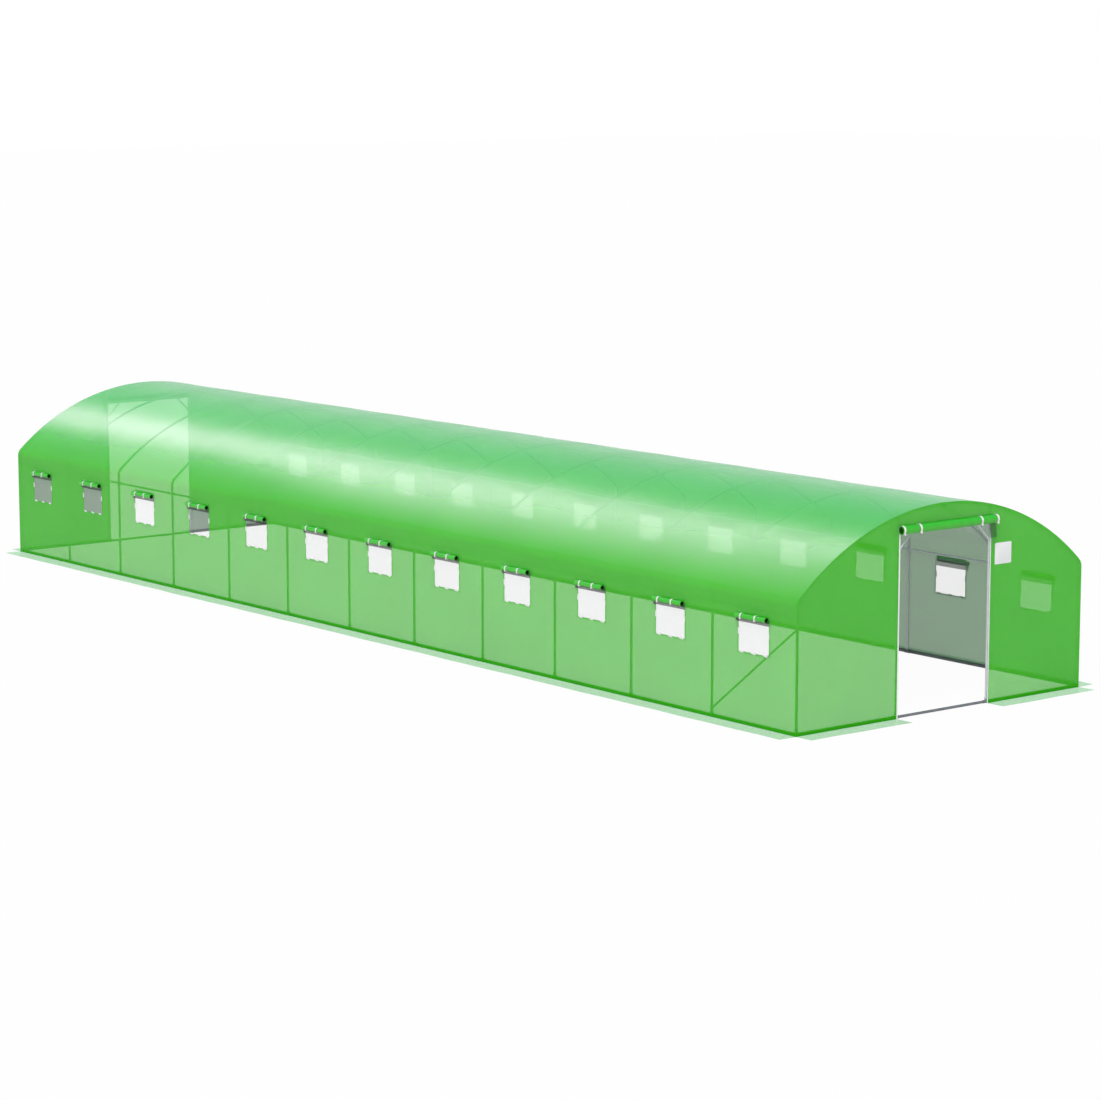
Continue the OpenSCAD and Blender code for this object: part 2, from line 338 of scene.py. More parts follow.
# The foot is a doubled, denser hem, and its colours are painted shade: darker green outside, nearly black
# inside.
OUTER_FOOT_HEM_AND_SHADE = {"colour": (0.030, 0.360, 0.015), "height": 0.020}
INNER_FOOT_HEM_AND_SHADE = {"colour": (0.020, 0.030, 0.022), "height": 0.055}
print(f"threads every {1000 * THREAD_PITCH:.0f} mm, hems {1000 * HEM_W:.0f} mm wide")

# %% [markdown]
# The sewn hems round the windows and doorways are denser because the film is doubled there, and so is the
# foot at the ground, whose dark colour is painted shade. They are masks: 1 where the film is doubled and 0
# elsewhere. The roof has a clear gloss on top, which fades out at the eaves.


# %% Film finishes
def window_hems(along, up, margin):
    """1 within margin of a window's edge, where along and up are metres along the wall and up it."""
    from_middle = abs((along + HALF_L) % BAY - BAY / 2)
    across = from_middle < WINDOW_W / 2 + margin
    return across * (up > SILL - margin) * (up < WINDOW_TOP + margin)


def door_hems(along, up, margin):
    """1 within margin of the doorway's edge, where along and up are metres across the end and up it."""
    return (abs(along) < DOOR_W / 2 + margin) * (up < DOOR_H + margin)


def roof_coat(run):
    """Nothing at both eaves and the most over the arc, where run is metres round from the left eave."""
    from_eave = SECTION_RUN / 2 - abs(run - SECTION_RUN / 2)
    return from_eave.eased(0.0, COAT_REACH) * COAT_SHARE


def film_skin(name, colour, alpha, gloss, hems=None, foot_hem_and_shade=None, coat=None):
    """One skin of the film: threads, a little cloudiness, faint creases and, where it has them, hems."""
    finish = new_finish(name)
    point, along, up = finish.sheet_place()
    threads = ((along % THREAD_PITCH) < THREAD_W).either((up % THREAD_PITCH) < THREAD_W)
    clouds = finish.noise(point, CLOUD_SCALE)
    height = finish.noise(point, CREASE_SCALE, 2.0)
    tint = finish.mix(clouds.eased(*CLOUD_RANGE), colour, [c * CLOUD_SHADE for c in colour])
    see_through = (1 - alpha) * (1 - threads * THREAD_COVER)
    if hems:
        hem = hems(along, up, HEM_W)
        stitch_line = hem - hems(along, up, HEM_W - STITCH_W)
        stitches = stitch_line * ((along + up) % STITCH_PITCH > STITCH_GAP)
        # The foot: doubled film, and its dark colour is painted shade.
        low = 1 - up.eased(foot_hem_and_shade["height"] * FOOT_SOLID_SHARE, foot_hem_and_shade["height"])
        sewn = hem * HEM_TINT + stitches * STITCH_TINT
        tint = finish.mix(sewn, tint, [c * HEM_SHADE for c in colour])
        tint = finish.mix(low, tint, foot_hem_and_shade["colour"])
        see_through = see_through * (1 - hem * HEM_COVER) * (1 - low * FOOT_COVER)
        height = height + hem * DOUBLED_HEIGHT + low * DOUBLED_HEIGHT
    looks = {
        "Base Color": tint,
        "Roughness": FILM_ROUGHNESS + clouds * 0.04 + threads * 0.03,
        "Specular IOR Level": gloss,
        "Alpha": 1 - see_through,
        "Normal": finish.bump(height, *FILM_BUMP),
    }
    if coat:
        looks |= {"Coat Weight": coat(up), "Coat Roughness": COAT_ROUGHNESS}
    return finish.surface(looks)


def film_skins(name, gloss, hems=None, coat=None):
    outer = film_skin(f"{name}_outer", GREEN, OUTER_ALPHA, gloss, hems, OUTER_FOOT_HEM_AND_SHADE, coat)
    inner = film_skin(f"{name}_inner", INNER_GREY, INNER_ALPHA, gloss, hems, INNER_FOOT_HEM_AND_SHADE)
    return outer, inner


WALL_SKINS = film_skins("wall_film", WALL_GLOSS, window_hems)
END_SKINS = film_skins("end_film", END_GLOSS, door_hems)
ROOF_SKINS = film_skins("roof_film", WALL_GLOSS, coat=roof_coat)
SKIRT_SKINS = (
    film_skin("skirt_film_outer", SKIRT_GREEN, SKIRT_ALPHA, WALL_GLOSS),
    film_skin("skirt_film_inner", SKIRT_GREEN, SKIRT_INNER_ALPHA, WALL_GLOSS),
)
print("film finishes:", len(WALL_SKINS + END_SKINS + ROOF_SKINS + SKIRT_SKINS))

# %% [markdown]
# The rolled flaps are many layers thick, so nothing shows through them. Their inner turns and the dips of
# their creases are painted darker, as painted shade. The nets are a fine woven mesh. Ties, tabs and zip tapes
# are white webbing and plastic.

# %% Finishes of the flaps, nets and trim
FLAP_DIP_SHADE, FLAP_BRIGHT = (0.026, 0.465, 0.009), (0.058, 0.570, 0.022)
FLAP_SHADOW = (0.006, 0.020, 0.005)
FLAP_SHADE_RANGE = (0.14, 0.40)
FLAP_CREASE_SCALE = 14.0
FLAP_BUMP = (0.35, 0.006)
FLAP_ROUGHNESS = 0.28
NET_PITCH = 0.0030
NET_STRAND = 0.0006
NET_DEEP, NET_PALE = (0.52, 0.53, 0.55), (0.62, 0.63, 0.65)
NET_MOTTLE_SCALE = 30.0
NET_ROUGHNESS = 0.7
NET_COVER, STRAND_COVER = 0.10, 0.28
WEAVE_SCALE = 180.0
FUZZ_SCALE = 60.0
WEBBING_BUMP = (0.3, 0.0006)
WEBBING_ROUGHNESS = 0.75
PLATE_WHITE, PLATE_WORN = (0.88, 0.88, 0.89), (0.82, 0.82, 0.84)
PLATE_MOTTLE_SCALE = 25.0
PLATE_ROUGHNESS = 0.35


def flap_finish():
    """Film whose first UV value is how deep it lies in its roll, and so how much painted shade it gets."""
    finish = new_finish("rolled_film")
    point, depth, _ = finish.sheet_place()
    creases = finish.noise(point, FLAP_CREASE_SCALE, 4.0)
    # Painted shade: the green is darker in the dips of the creases and in the inner turns.
    crease_shaded_green = finish.mix(creases, FLAP_DIP_SHADE, FLAP_BRIGHT)
    shaded = finish.mix(depth.eased(*FLAP_SHADE_RANGE), crease_shaded_green, FLAP_SHADOW)
    bump = finish.bump(creases, *FLAP_BUMP)
    roughness = FLAP_ROUGHNESS + creases * 0.15
    return finish.surface({"Base Color": shaded, "Roughness": roughness, "Normal": bump})


def net_finish():
    finish = new_finish("insect_net")
    point, across, up = finish.sheet_place()
    strand = ((across % NET_PITCH) < NET_STRAND).either((up % NET_PITCH) < NET_STRAND)
    tone = finish.mix(finish.noise(point, NET_MOTTLE_SCALE), NET_DEEP, NET_PALE)
    cover = NET_COVER + strand * STRAND_COVER
    return finish.surface({"Base Color": tone, "Roughness": NET_ROUGHNESS, "Alpha": cover})


def webbing_finish(name, colour, worn, cover=1.0):
    """Woven tape. A cover below 1 is an open weave, which lets the rest of the light through."""
    finish = new_finish(name)
    point = finish.place()
    bands = {"Vector": point, "Scale": WEAVE_SCALE}
    weave = finish.node("ShaderNodeTexWave", {"wave_type": "BANDS"}, bands)
    fuzz = finish.noise(point, FUZZ_SCALE)
    tone = finish.mix(fuzz * 0.6 + weave * 0.2, colour, worn)
    bump = finish.bump(weave + fuzz, *WEBBING_BUMP)
    looks = {"Base Color": tone, "Roughness": WEBBING_ROUGHNESS, "Alpha": cover, "Normal": bump}
    return finish.surface(looks)


def plate_finish():
    finish = new_finish("bare_plate")
    mottle = finish.noise(finish.place(), PLATE_MOTTLE_SCALE)
    tone = finish.mix(mottle, PLATE_WHITE, PLATE_WORN)
    return finish.surface({"Base Color": tone, "Roughness": PLATE_ROUGHNESS + mottle * 0.1})


FLAP = flap_finish()
NET = net_finish()
WHITE_WEBBING = webbing_finish("white_webbing", (0.86, 0.86, 0.85), (0.72, 0.73, 0.70))
# Painted shadow of the window rolls: a dark, part see-through strip.
PAINTED_ROLL_SHADOW = webbing_finish("painted_roll_shadow", (0.090, 0.115, 0.085), (0.145, 0.170, 0.135), cover=0.52)
ZIP_TAPE = webbing_finish("zip_tape", (0.90, 0.90, 0.90), (0.82, 0.82, 0.82))
PLATE = plate_finish()
print("trim finishes are ready")

# %% [markdown]
# A sheet starts as Blender's grid primitive. Its points are then moved to the sheet's place in one go,
# which is the quickest way to bend a flat cut over a curved frame.


# %% Helpers for points
def rows_of(*columns):
    """One row for each point, from columns of which some may be single numbers."""
    return np.stack(np.broadcast_arrays(*columns), axis=1)


def points_of(piece):
    flat = np.empty(len(piece.data.vertices) * 3)
    piece.data.vertices.foreach_get("co", flat)
    return flat.reshape(-1, 3)


def set_points(piece, points):
    piece.data.vertices.foreach_set("co", np.ascontiguousarray(points).ravel())
    piece.data.update()


def face_vectors(piece, key):
    """Every face's center or normal."""
    flat = np.empty(len(piece.data.polygons) * 3)
    piece.data.polygons.foreach_get(key, flat)
    return flat.reshape(-1, 3)


def new_grid(name, columns, rows):
    """A flat grid, and its points, which run from 0 to 1 along X and Y."""
    bpy.ops.object.select_all(action="DESELECT")
    bpy.ops.mesh.primitive_grid_add(x_subdivisions=columns, y_subdivisions=rows, size=1.0)
    piece = bpy.context.object
    piece.name = piece.data.name = name
    set_points(piece, points_of(piece) + (0.5, 0.5, 0.0))
    return piece, points_of(piece)


print("point helpers are ready")

# %% [markdown]
# A maker marks the film, cuts it and sews it flat. Here planes cut the grid, faces are deleted, and a UV map
# in metres keeps the flat measure for the finish. Solidify then gives the sheet its two skins.

# %% Helpers for cutting and thickening a sheet
FILM_T = 0.0012
SMOOTH_ANGLE = math.radians(40)
UPWARDS = (0.0, 0.0, 1.0)


def make_active(piece):
    bpy.ops.object.select_all(action="DESELECT")
    piece.select_set(True)
    bpy.context.view_layer.objects.active = piece


@contextlib.contextmanager
def edit_mode(piece):
    """Keeps one piece in edit mode for the lines of a with block."""
    make_active(piece)
    bpy.ops.object.mode_set(mode="EDIT")
    yield
    bpy.ops.object.mode_set(mode="OBJECT")


def cut_across(piece, axis, places):
    """Cuts the whole sheet along planes square to an axis, so that an edge lies at each place."""
    square = [float(i == axis) for i in range(3)]
    with edit_mode(piece):
        for place in places:
            bpy.ops.mesh.select_all(action="SELECT")
            bpy.ops.mesh.bisect(plane_co=[place * s for s in square], plane_no=square)


def delete_faces(piece, unwanted):
    """Removes the faces whose middles the function picks out."""
    with edit_mode(piece):
        bpy.ops.mesh.select_mode(type="FACE")
        bpy.ops.mesh.select_all(action="DESELECT")
    piece.data.polygons.foreach_set("select", unwanted(face_vectors(piece, "center")))
    with edit_mode(piece):
        bpy.ops.mesh.delete(type="FACE")


def face_towards(piece, outwards):
    """Flips the sheet if its faces point against a direction."""
    if (face_vectors(piece, "normal") * outwards).sum() > 0:
        return
    with edit_mode(piece):
        bpy.ops.mesh.select_all(action="SELECT")
        bpy.ops.mesh.flip_normals()


def lay_metres(piece, places):
    """Gives the sheet one UV map, in metres, from one pair for each point."""
    layer = piece.data.uv_layers.new(name="metres")
    corners = np.empty(len(piece.data.loops), dtype=np.int32)
    piece.data.loops.foreach_get("vertex_index", corners)
    layer.data.foreach_set("uv", np.ascontiguousarray(places[corners]).ravel())
    for other in [u for u in piece.data.uv_layers if u.name != "metres"]:
        piece.data.uv_layers.remove(other)


def apply_modifier(piece, kind, **settings):
    make_active(piece)
    modifier = piece.modifiers.new(kind.lower(), kind)
    for key, value in settings.items():
        setattr(modifier, key, value)
    bpy.ops.object.modifier_apply(modifier=modifier.name)


def smooth(piece, angle=SMOOTH_ANGLE):
    make_active(piece)
    bpy.ops.object.shade_smooth_by_angle(angle=angle)


def two_skins(piece, skins):
    """Thickens a sheet inwards: its outer skin takes the first finish and its inner skin the second."""
    give_finish(piece, *skins)
    apply_modifier(piece, "SOLIDIFY", thickness=FILM_T, offset=-1.0, material_offset=1)
    smooth(piece)


print("sheet helpers are ready")

# %% [markdown]
# The film is tight over each hoop and falls a few millimetres towards the inside between two hoops. The
# same formula gives that fall to the walls, the nets and the tabs, so that they stay together. Soft puckers
# come from two crossing waves, each given by its count in a metre both ways.

# %% How the film falls between hoops
WALL_FALL = 0.005
ROOF_FALL = 0.003
PUCKER = 0.0006
WALL_WAVES = ((1.9, 2.3), (3.1, -1.3))
ROOF_WAVES = ((1.7, 0.8), (2.9, -0.6))


def between_hoops(along):
    """0 at every hoop and 1 in the middle of every bay."""
    return np.sin(np.pi * (along + HALF_L) / BAY) ** 2


def puckers(along, up, waves):
    """Soft puckers between 0 and 1."""
    return (sum(np.sin(2 * np.pi * (a * along + b * up)) for a, b in waves) + 2) / 4


def wall_fall(along, up):
    """How far a wall's film lies inside its flat plane."""
    held = np.sin(np.pi * np.clip(up / EAVE, 0, 1))
    return held * (WALL_FALL * between_hoops(along) + PUCKER * puckers(along, up, WALL_WAVES))


def follow_wall(piece, side, stand_off):
    """Moves what was made in the YZ plane out to a wall's film, following its fall."""
    points = points_of(piece)
    fall = wall_fall(points[:, 1], points[:, 2])
    points[:, 0] = side * (HALF_W + stand_off + points[:, 0] - fall)
    set_points(piece, points)


print(f"the film falls up to {1000 * (WALL_FALL + PUCKER):.1f} mm between hoops")

# %% [markdown]
# The roof's line is walked in steps from the left eave: a bend, the long arc and the other bend. Every step
# gives a point, the direction outwards and the metres gone round.

# %% The roof's section
BEND_STEPS = 8
ROOF_STEPS = 60
SECTION_STEPS = 2 * BEND_STEPS + ROOF_STEPS


def section(step):
    """The roof's line, its outward normals and its run at steps from 0 to SECTION_STEPS."""
    bend_share = np.clip(step / BEND_STEPS, 0, 1)
    roof_share = np.clip((step - BEND_STEPS) / ROOF_STEPS, 0, 1)
    last_share = np.clip((step - BEND_STEPS - ROOF_STEPS) / BEND_STEPS, 0, 1)
    angle = -math.pi / 2 + BEND_ANGLE * (bend_share + last_share) + 2 * ROOF_HALF_ANGLE * roof_share
    normal = rows_of(np.sin(angle), np.cos(angle))
    first, last = step < BEND_STEPS, step > BEND_STEPS + ROOF_STEPS
    centre_x = np.where(first, -BEND_X, np.where(last, BEND_X, 0.0))
    centre_z = np.where(first | last, EAVE, ROOF_Z)
    radius = np.where(first | last, BEND_R, ROOF_R)
    line = rows_of(centre_x, centre_z) + normal * radius[:, None]
    run = BEND_RUN * (bend_share + last_share) + ROOF_RUN * roof_share
    return line, normal, run


print(f"the roof's cut is {SECTION_RUN:.2f} m round")

# %% [markdown]
# The roof is one cut of film from eave to eave. Its grid has short steps in the two bends and longer ones
# along the arc. On a real tunnel it would be pulled over the hoops by hand: here the points are laid on the
# section and then let fall between the hoops.

# %% Roof sheet
ROOF_ROWS_IN_BAY = 12


def roof_sheet():
    piece, flat = new_grid("roof_sheet", SECTION_STEPS, BAYS * ROOF_ROWS_IN_BAY)
    along = (flat[:, 1] - 0.5) * 2 * (HALF_L - FILM_T)
    line, normal, run = section(flat[:, 0] * SECTION_STEPS)
    held = np.sqrt(np.clip(np.sin(np.pi * run / SECTION_RUN), 0, 1))
    fall = held * (ROOF_FALL * between_hoops(along) + PUCKER * puckers(along, run, ROOF_WAVES))
    laid = line - normal * fall[:, None]
    set_points(piece, rows_of(laid[:, 0], along, laid[:, 1]))
    lay_metres(piece, rows_of(along, run))
    face_towards(piece, UPWARDS)
    two_skins(piece, ROOF_SKINS)
    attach(piece, "root")
    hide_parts("roof_film")
    return piece


roof = roof_sheet()
print("roof sheet:", len(roof.data.polygons), "faces")

# %% [markdown]
# Each long wall is one cut with twelve windows. The grid is cut along every window's edges, and the faces
# inside the windows are deleted, as a maker would mark and cut them out of the flat film.

# %% Wall sheets
LEFT, RIGHT = SIDES = (-1, 1)
SIDE_NAMES = {LEFT: "left", RIGHT: "right"}
WALL_COLUMNS_IN_BAY = 10
WALL_ROWS = 18


def in_windows(middles):
    from_middle = np.abs((middles[:, 1] + HALF_L) % BAY - BAY / 2)
    level = (middles[:, 2] > SILL) & (middles[:, 2] < WINDOW_TOP)
    return level & (from_middle < WINDOW_W / 2)


def wall_sheet(side):
    piece, flat = new_grid(f"{SIDE_NAMES[side]}_wall_sheet", BAYS * WALL_COLUMNS_IN_BAY, WALL_ROWS)
    along = (flat[:, 0] - 0.5) * 2 * (HALF_L - FILM_T)
    set_points(piece, rows_of(0.0, along, flat[:, 1] * EAVE))
    cut_across(piece, 1, [y + s * WINDOW_W / 2 for y in BAY_MIDDLES for s in SIDES])
    cut_across(piece, 2, [SILL, WINDOW_TOP])
    delete_faces(piece, in_windows)
    lay_metres(piece, points_of(piece)[:, 1:])
    follow_wall(piece, side, 0.0)
    face_towards(piece, (side, 0.0, 0.0))
    two_skins(piece, WALL_SKINS)
    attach(piece, "root")
    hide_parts(f"{SIDE_NAMES[side]}_wall_film")
    cut = 2 * HALF_L * EAVE - BAYS * WINDOW_W * (WINDOW_TOP - SILL)
    return piece


walls = [wall_sheet(side) for side in SIDES]
print("wall sheets:", [len(w.data.polygons) for w in walls], "faces")

# %% [markdown]
# The end sheets follow the hoop's outline. Each column of the grid is stretched up to the roof's line, so
# the outline comes out as smooth as the roof that meets it, and then the doorway is cut out.

# %% End sheets
FRONT, BACK = ENDS = (-1, 1)
END_NAMES = {FRONT: "front", BACK: "back"}
END_ROWS = 24
END_PUCKER = 0.0048
END_WAVES = ((1.1, 0.9), (-1.9, 0.7))
HELD_BESIDE = 0.2
HELD_BELOW = 0.3
LOOSE_TOP = EAVE + 0.2
DOOR_SIDES = [-DOOR_W / 2, DOOR_W / 2]


def in_doorway(middles):
    return (np.abs(middles[:, 0]) < DOOR_W / 2) & (middles[:, 2] < DOOR_H)


def end_fall(across, up):
    """How far an end's film lies inside its flat plane: nothing at its edges and round the doorway."""
    from_door = np.abs(across) - DOOR_W / 2
    from_wall = HALF_W - np.abs(across)
    beside = np.clip(from_door / HELD_BESIDE, 0, 1) * np.clip(from_wall / HELD_BESIDE, 0, 1)
    level = np.clip(up / HELD_BELOW, 0, 1) * np.clip((LOOSE_TOP - up) / HELD_BELOW, 0, 1)
    return beside * level * END_PUCKER * puckers(across, up, END_WAVES)


def end_sheet(end):
    piece, flat = new_grid(f"{END_NAMES[end]}_sheet", SECTION_STEPS, END_ROWS)
    line, _, _ = section(flat[:, 0] * SECTION_STEPS)
    set_points(piece, rows_of(line[:, 0], end * HALF_L, flat[:, 1] * line[:, 1]))
    cut_across(piece, 0, DOOR_SIDES)
    cut_across(piece, 2, [DOOR_H])
    delete_faces(piece, in_doorway)
    points = points_of(piece)
    lay_metres(piece, points[:, [0, 2]])
    points[:, 1] -= end * end_fall(points[:, 0], points[:, 2])
    set_points(piece, points)
    face_towards(piece, (0.0, end, 0.0))
    two_skins(piece, END_SKINS)
    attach(piece, "root")
    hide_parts(f"{END_NAMES[end]}_film")
    return piece


ends = [end_sheet(end) for end in ENDS]
print("end sheets:", [len(e.data.polygons) for e in ends], "faces")

# %% [markdown]
# The skirt lies on the ground so that soil can be heaped on it. A loose strip never lies dead flat: its
# outer edge lifts in low waves, while the edge at the wall stays down.

# %% Skirts
SKIRT_LIFT = 0.005
SKIRT_WAVES = (0.9, 0.37)
SKIRT_SHIFT = 1.0
SKIRT_STEPS_OUT = 6
SKIRT_STEPS_IN_BAY = 8
END_SKIRT_STEPS = 48


def skirt_points(low, high, flat, from_wall, along):
    """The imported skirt's box filled with points, lifted in waves away from the wall."""
    short, long = (2 * np.pi * along * count for count in SKIRT_WAVES)
    lift = from_wall * (np.sin(short) * np.sin(long + SKIRT_SHIFT) + 1) / 2
    x = low.x + flat[:, 0] * (high.x - low.x)
    y = low.y + flat[:, 1] * (high.y - low.y)
    return rows_of(x, y, FILM_T + SKIRT_LIFT * lift)


def finish_skirt(piece, node_name):
    lay_metres(piece, points_of(piece)[:, :2])
    face_towards(piece, UPWARDS)
    two_skins(piece, SKIRT_SKINS)
    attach(piece, "root")
    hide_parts(node_name)
    return piece


def side_skirt(side):
    node_name = f"{SIDE_NAMES[side]}_skirt"
    low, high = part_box(node_name)
    piece, flat = new_grid(f"{SIDE_NAMES[side]}_skirt_sheet", SKIRT_STEPS_OUT, BAYS * SKIRT_STEPS_IN_BAY)
    from_wall = flat[:, 0] if side == RIGHT else 1 - flat[:, 0]
    set_points(piece, skirt_points(low, high, flat, from_wall, flat[:, 1] * 2 * HALF_L))
    return finish_skirt(piece, node_name)


def end_skirts(end):
    node_name = f"{END_NAMES[end]}_skirts"
    low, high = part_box(node_name)
    piece, flat = new_grid(f"{END_NAMES[end]}_skirt_sheets", END_SKIRT_STEPS, SKIRT_STEPS_OUT)
    from_wall = flat[:, 1] if end == BACK else 1 - flat[:, 1]
    set_points(piece, skirt_points(low, high, flat, from_wall, flat[:, 0] * 2 * HALF_W))
    cut_across(piece, 0, DOOR_SIDES)
    delete_faces(piece, lambda middles: np.abs(middles[:, 0]) < DOOR_W / 2)
    return finish_skirt(piece, node_name)


skirts = [side_skirt(side) for side in SIDES] + [end_skirts(end) for end in ENDS]
print("skirts:", len(skirts))

# %% [markdown]
# What repeats is modelled once and copied. A copy gets its own mesh, the copies are joined, and their place
# is applied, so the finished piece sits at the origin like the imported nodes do.

# %% Helpers for repeated pieces
UNTURNED = (0.0, 0.0, 0.0)


def joined(pieces, name):
    bpy.ops.object.select_all(action="DESELECT")
    for piece in pieces:
        piece.select_set(True)
    bpy.context.view_layer.objects.active = pieces[0]
    bpy.ops.object.join()
    whole = bpy.context.object
    whole.name = whole.data.name = name
    bpy.ops.object.transform_apply()
    return whole


def copied(master, name, places):
    """Copies of a piece, each at an (x, y, z) and turned by three angles, joined into one in its stead."""
    copies = []
    for offset, turn in places:
        twin = master.copy()
        twin.data = master.data.copy()
        bpy.context.scene.collection.objects.link(twin)
        twin.location = offset
        twin.rotation_euler = turn
        copies.append(twin)
    whole = joined(copies, name)
    bpy.data.objects.remove(master)
    return whole


print("copying helpers are ready")

# %% [markdown]
# A net closes each window behind the film. It is one plain woven layer, so it stays a single surface.

# %% Window nets
NET_GAP = 0.0028
NET_STEPS = 6


def window_nets(side):
    width = WINDOW_W + 2 * NET_LAP
    height = WINDOW_TOP - SILL + 2 * NET_LAP
    master, flat = new_grid("net", NET_STEPS, NET_STEPS)
    along = (flat[:, 0] - 0.5) * width
    up = SILL - NET_LAP + flat[:, 1] * height
    set_points(master, rows_of(0.0, along, up))
    lay_metres(master, rows_of(along, up))
    give_finish(master, NET)
    face_towards(master, (side, 0.0, 0.0))
    piece = copied(master, f"{SIDE_NAMES[side]}_nets", [((0, y, 0), UNTURNED) for y in BAY_MIDDLES])
    follow_wall(piece, side, -NET_GAP)
    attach(piece, "root")
    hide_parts(f"{SIDE_NAMES[side]}_window_nets")
    BAYS * width
    return piece


nets = [window_nets(side) for side in SIDES]
print("nets:", [len(n.data.polygons) for n in nets], "faces")

# %% [markdown]
# A rolled flap is a sheet wound into a spiral. It leaves the film above the opening, drops behind the roll
# and winds inwards from there. Its ties pull it in a little where they go round, and the turns don't end
# quite level, which is what makes a hand-rolled flap look soft.

# %% A rolled flap
LEAD_STEPS = 2
TURN_STEPS = 22
CORE_SHARE = 0.30
LEAD_LEAN = 0.02
ROLL_SLACK = 0.03
ROLL_WOBBLES = ((0.020, 21.0, 9.0), (0.015, 47.0, -5.0))
EDGE_SHARE = 0.49
EDGE_SHIFT = 0.004
EDGE_WAVES = 0.7
TIE_SQUEEZE = 0.08
TIE_REACH = 0.030
ROLL_SMOOTH_ANGLE = math.radians(50)


def finish_flap(piece):
    """Thickens a flap's film to both sides and gives it its finish."""
    apply_modifier(piece, "SOLIDIFY", thickness=FILM_T, offset=0.0)
    give_finish(piece, FLAP)
    smooth(piece, ROLL_SMOOTH_ANGLE)


def rolled_flap(length, radius, turns, lead, tied_at, rows, shades):
    """A roll along Y about the origin, with the wall on its -X side and its lead going up the wall.

    The shades are the painted shade of its outermost and innermost turn.
    """
    steps = round(turns * TURN_STEPS)
    piece, flat = new_grid("flap", steps + LEAD_STEPS, rows)
    step = flat[:, 0] * (steps + LEAD_STEPS)
    wound = np.clip((step - LEAD_STEPS) / steps, 0, 1)
    rising = np.clip(1 - step / LEAD_STEPS, 0, 1)
    from_middle = flat[:, 1] - 0.5
    along = from_middle * length
    squeeze = sum(np.exp(-(((along - place) / TIE_REACH) ** 2)) for place in tied_at)
    wobble = sum(size * np.sin(along * a + wound * b) for size, a, b in ROLL_WOBBLES)
    reach = radius * (1 - (1 - CORE_SHARE) * wound) * (1 - TIE_SQUEEZE * squeeze - ROLL_SLACK + wobble)
    angle = math.pi + 2 * math.pi * turns * wound
    at_edge = np.sign(from_middle) * (np.abs(from_middle) > EDGE_SHARE)
    uneven = EDGE_SHIFT * np.sin(angle * EDGE_WAVES) * at_edge * wound
    across = np.where(rising > 0, -radius * (1 - LEAD_LEAN * rising), reach * np.cos(angle))
    set_points(piece, rows_of(across, along - uneven, reach * np.sin(angle) + rising * lead))
    lay_metres(piece, rows_of(np.interp(wound, (0, 1), shades), along))
    finish_flap(piece)
    return piece


def spiral_run(radius, turns, lead):
    return math.pi * radius * (1 + CORE_SHARE) * turns * (1 - ROLL_SLACK) + lead


print(f"a roll has {TURN_STEPS} steps to a turn")

# %% [markdown]
# The same roll serves the windows and the doors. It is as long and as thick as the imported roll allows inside
# its ties, and it is turned to face its wall or end. A window's roll is copied to every bay.

# %% Window and door flaps
WINDOW_ROLL_ROWS, DOOR_ROLL_ROWS = 22, 60
WINDOW_TURNS, DOOR_TURNS = 3.2, 7.0
WINDOW_LEAD_SHARE, DOOR_LEAD_SHARE = 1.5, 0.9
WINDOW_TIE_SHARES = (0.19, 0.66)
DOOR_TIE_SHARES = (0.01, 0.18, 0.82, 0.99)
# The roll shades are painted shade; the door roll's outer turn starts a little darkened too.
WINDOW_ROLL_SHADES = (0.0, 1.0)
DOOR_ROLL_SHADES = (0.185, 0.360)
TIE_T = 0.0015
WALL_TURNS = {LEFT: (0.0, 0.0, math.pi), RIGHT: UNTURNED}
END_TURNS = {end: (0.0, 0.0, end * math.pi / 2) for end in ENDS}


def tie_places(shares, length):
    return [(0.5 - share) * length for share in shares]


def roll_inside_ties(node_name):
    """A packed roll's middle, its length across the tunnel and its radius inside the ties."""
    low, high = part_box(node_name)
    return (low + high) / 2, high.x - low.x, (high.z - low.z) / 2 - TIE_T


def declare_flap(piece, node_name, flat):
    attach(piece, "root")
    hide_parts(node_name)


def window_flaps(side):
    node_name = f"{SIDE_NAMES[side]}_window_rolls"
    middle, _, radius = roll_inside_ties(node_name)
    lead = radius * WINDOW_LEAD_SHARE
    tied_at = [side * place for place in tie_places(WINDOW_TIE_SHARES, WINDOW_W)]
    roll = (WINDOW_W, radius, WINDOW_TURNS, lead, tied_at, WINDOW_ROLL_ROWS, WINDOW_ROLL_SHADES)
    spots = [((middle.x, y, middle.z), WALL_TURNS[side]) for y in BAY_MIDDLES]
    piece = copied(rolled_flap(*roll), f"{SIDE_NAMES[side]}_window_flaps", spots)
    declare_flap(piece, node_name, (BAYS * WINDOW_W, spiral_run(radius, WINDOW_TURNS, lead)))
    return piece


def door_flap(end):
    node_name = f"{END_NAMES[end]}_door_roll"
    middle, length, radius = roll_inside_ties(node_name)
    lead = radius * DOOR_LEAD_SHARE
    tied_at = tie_places(DOOR_TIE_SHARES, length)
    roll = (length, radius, DOOR_TURNS, lead, tied_at, DOOR_ROLL_ROWS, DOOR_ROLL_SHADES)
    piece = copied(rolled_flap(*roll), f"{END_NAMES[end]}_door_flap", [(middle, END_TURNS[end])])
    declare_flap(piece, node_name, (length, spiral_run(radius, DOOR_TURNS, lead)))
    return piece


flaps = [window_flaps(side) for side in SIDES] + [door_flap(end) for end in ENDS]
print("flaps:", [len(f.data.polygons) for f in flaps], "faces")

# %% [markdown]
# One corner of a door's flap has slipped out of its roll and hangs below it. It is a small sheet of its own:
# its top is caught between the turns of the roll, its free edge curls a little, and its dark colour is painted
# shade.

